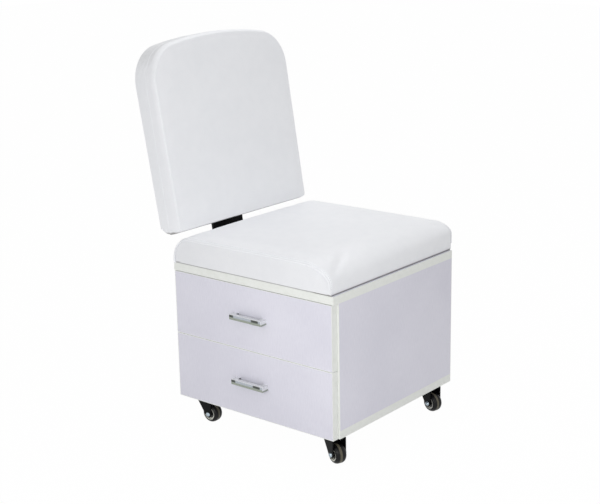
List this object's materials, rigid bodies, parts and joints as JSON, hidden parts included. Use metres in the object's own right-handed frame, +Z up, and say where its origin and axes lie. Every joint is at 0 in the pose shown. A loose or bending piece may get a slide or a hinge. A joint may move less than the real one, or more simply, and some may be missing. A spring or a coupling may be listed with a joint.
{
  "type": "pedicure stool",
  "caption": "Low salon stool: a laminated drawer cabinet on swivel casters with a padded seat on top and a padded backrest on a bent flat bar.",
  "frame": {"origin": "on the floor under the middle of the cabinet", "axes": "+Z up; -Y the way the sitter faces; -X the side the drawers open to, on the sitter's right"},
  "size_m": [0.4115, 0.4976, 0.7723],
  "materials": {
    "laminate": "matt pale grey melamine on chipboard",
    "edge_band": "satin cream edge banding",
    "drawer_board": "matt white melamine on chipboard",
    "hardboard": "smooth hardboard",
    "plywood": "raw plywood",
    "upholstery": "smooth off-white synthetic leather over foam",
    "backing": "grained off-white vinyl",
    "black_steel": "black powder coat",
    "zinc_steel": "zinc plated",
    "pull_metal": "satin nickel plated",
    "chrome": "polished",
    "tyre": "black, satin",
    "hub": "pale grey",
    "ball_cage": "bright pressed steel with steel balls"
  },
  "bodies": {
    "cabinet": {"back_board": "plywood", "back_bracket": "black_steel", "back_cushion": "upholstery", "back_panel": "laminate", "back_rear_cover": "backing", "bottom_board": "laminate", "bottom_board_edging": "edge_band", "bracket_bolts": "zinc_steel", "bracket_tee_nuts": "zinc_steel", "carcass_screws": "zinc_steel", "caster_kingpins": "zinc_steel", "caster_plates": "zinc_steel", "caster_screws": "zinc_steel", "caster_swivel_balls": "zinc_steel", "front_panel": "laminate", "panel_edging": "edge_band", "rear_panel": "laminate", "seat_board": "plywood", "seat_cushion": "upholstery", "seat_screws": "zinc_steel", "slide_outer_members": "zinc_steel", "slide_screws": "zinc_steel", "top_board": "laminate", "top_board_edging": "edge_band"},
    "upper_drawer": {"upper_drawer_bottom": "hardboard", "upper_drawer_edging": "edge_band", "upper_drawer_ends": "drawer_board", "upper_drawer_front": "laminate", "upper_drawer_screws": "zinc_steel", "upper_drawer_sides": "drawer_board", "upper_handle": "pull_metal", "upper_handle_screws": "zinc_steel", "upper_slide_inner_members": "zinc_steel"},
    "upper_cages": {"upper_slide_cages": "ball_cage"},
    "lower_drawer": {"lower_drawer_bottom": "hardboard", "lower_drawer_edging": "edge_band", "lower_drawer_ends": "drawer_board", "lower_drawer_front": "laminate", "lower_drawer_screws": "zinc_steel", "lower_drawer_sides": "drawer_board", "lower_handle": "pull_metal", "lower_handle_screws": "zinc_steel", "lower_slide_inner_members": "zinc_steel"},
    "lower_cages": {"lower_slide_cages": "ball_cage"},
    "near_left_fork_body": {"near_left_fork": "black_steel", "near_left_axle": "chrome"},
    "near_left_wheel": {"near_left_tyre": "tyre", "near_left_hub": "hub"},
    "far_left_fork_body": {"far_left_fork": "black_steel", "far_left_axle": "chrome"},
    "far_left_wheel": {"far_left_tyre": "tyre", "far_left_hub": "hub"},
    "near_right_fork_body": {"near_right_fork": "black_steel", "near_right_axle": "chrome"},
    "near_right_wheel": {"near_right_tyre": "tyre", "near_right_hub": "hub"},
    "far_right_fork_body": {"far_right_fork": "black_steel", "far_right_axle": "chrome"},
    "far_right_wheel": {"far_right_tyre": "tyre", "far_right_hub": "hub"}
  },
  "joints": [
    {"name": "upper_drawer_slide", "type": "slide", "parent": "cabinet", "child": "upper_drawer", "axis": [-1, 0, 0], "range_m": [0, 0.245]},
    {"name": "upper_cage_slide", "type": "slide", "parent": "cabinet", "child": "upper_cages", "axis": [-1, 0, 0], "range_m": [0, 0.1225]},
    {"name": "lower_drawer_slide", "type": "slide", "parent": "cabinet", "child": "lower_drawer", "axis": [-1, 0, 0], "range_m": [0, 0.245]},
    {"name": "lower_cage_slide", "type": "slide", "parent": "cabinet", "child": "lower_cages", "axis": [-1, 0, 0], "range_m": [0, 0.1225]},
    {"name": "near_left_swivel", "type": "hinge", "parent": "cabinet", "child": "near_left_fork_body", "pos_m": [-0.1595, -0.1645, 0.05], "axis": [0, 0, 1], "continuous": true},
    {"name": "near_left_roll", "type": "hinge", "parent": "near_left_fork_body", "child": "near_left_wheel", "pos_m": [-0.16667, -0.18317, 0.019], "axis": [0.9336, -0.3584, 0], "continuous": true},
    {"name": "far_left_swivel", "type": "hinge", "parent": "cabinet", "child": "far_left_fork_body", "pos_m": [-0.1595, 0.1645, 0.05], "axis": [0, 0, 1], "continuous": true},
    {"name": "far_left_roll", "type": "hinge", "parent": "far_left_fork_body", "child": "far_left_wheel", "pos_m": [-0.15845, 0.14453, 0.019], "axis": [0.9986, 0.0523, 0], "continuous": true},
    {"name": "near_right_swivel", "type": "hinge", "parent": "cabinet", "child": "near_right_fork_body", "pos_m": [0.1595, -0.1645, 0.05], "axis": [0, 0, 1], "continuous": true},
    {"name": "near_right_roll", "type": "hinge", "parent": "near_right_fork_body", "child": "near_right_wheel", "pos_m": [0.15466, -0.18391, 0.019], "axis": [0.9703, -0.2419, 0], "continuous": true},
    {"name": "far_right_swivel", "type": "hinge", "parent": "cabinet", "child": "far_right_fork_body", "pos_m": [0.1595, 0.1645, 0.05], "axis": [0, 0, 1], "continuous": true},
    {"name": "far_right_roll", "type": "hinge", "parent": "far_right_fork_body", "child": "far_right_wheel", "pos_m": [0.15534, 0.14494, 0.019], "axis": [0.9781, -0.2079, 0], "continuous": true}
  ],
  "couplings": [
    {"joint": "upper_cage_slide", "follows": "upper_drawer_slide", "ratio": 0.5},
    {"joint": "lower_cage_slide", "follows": "lower_drawer_slide", "ratio": 0.5}
  ]
}
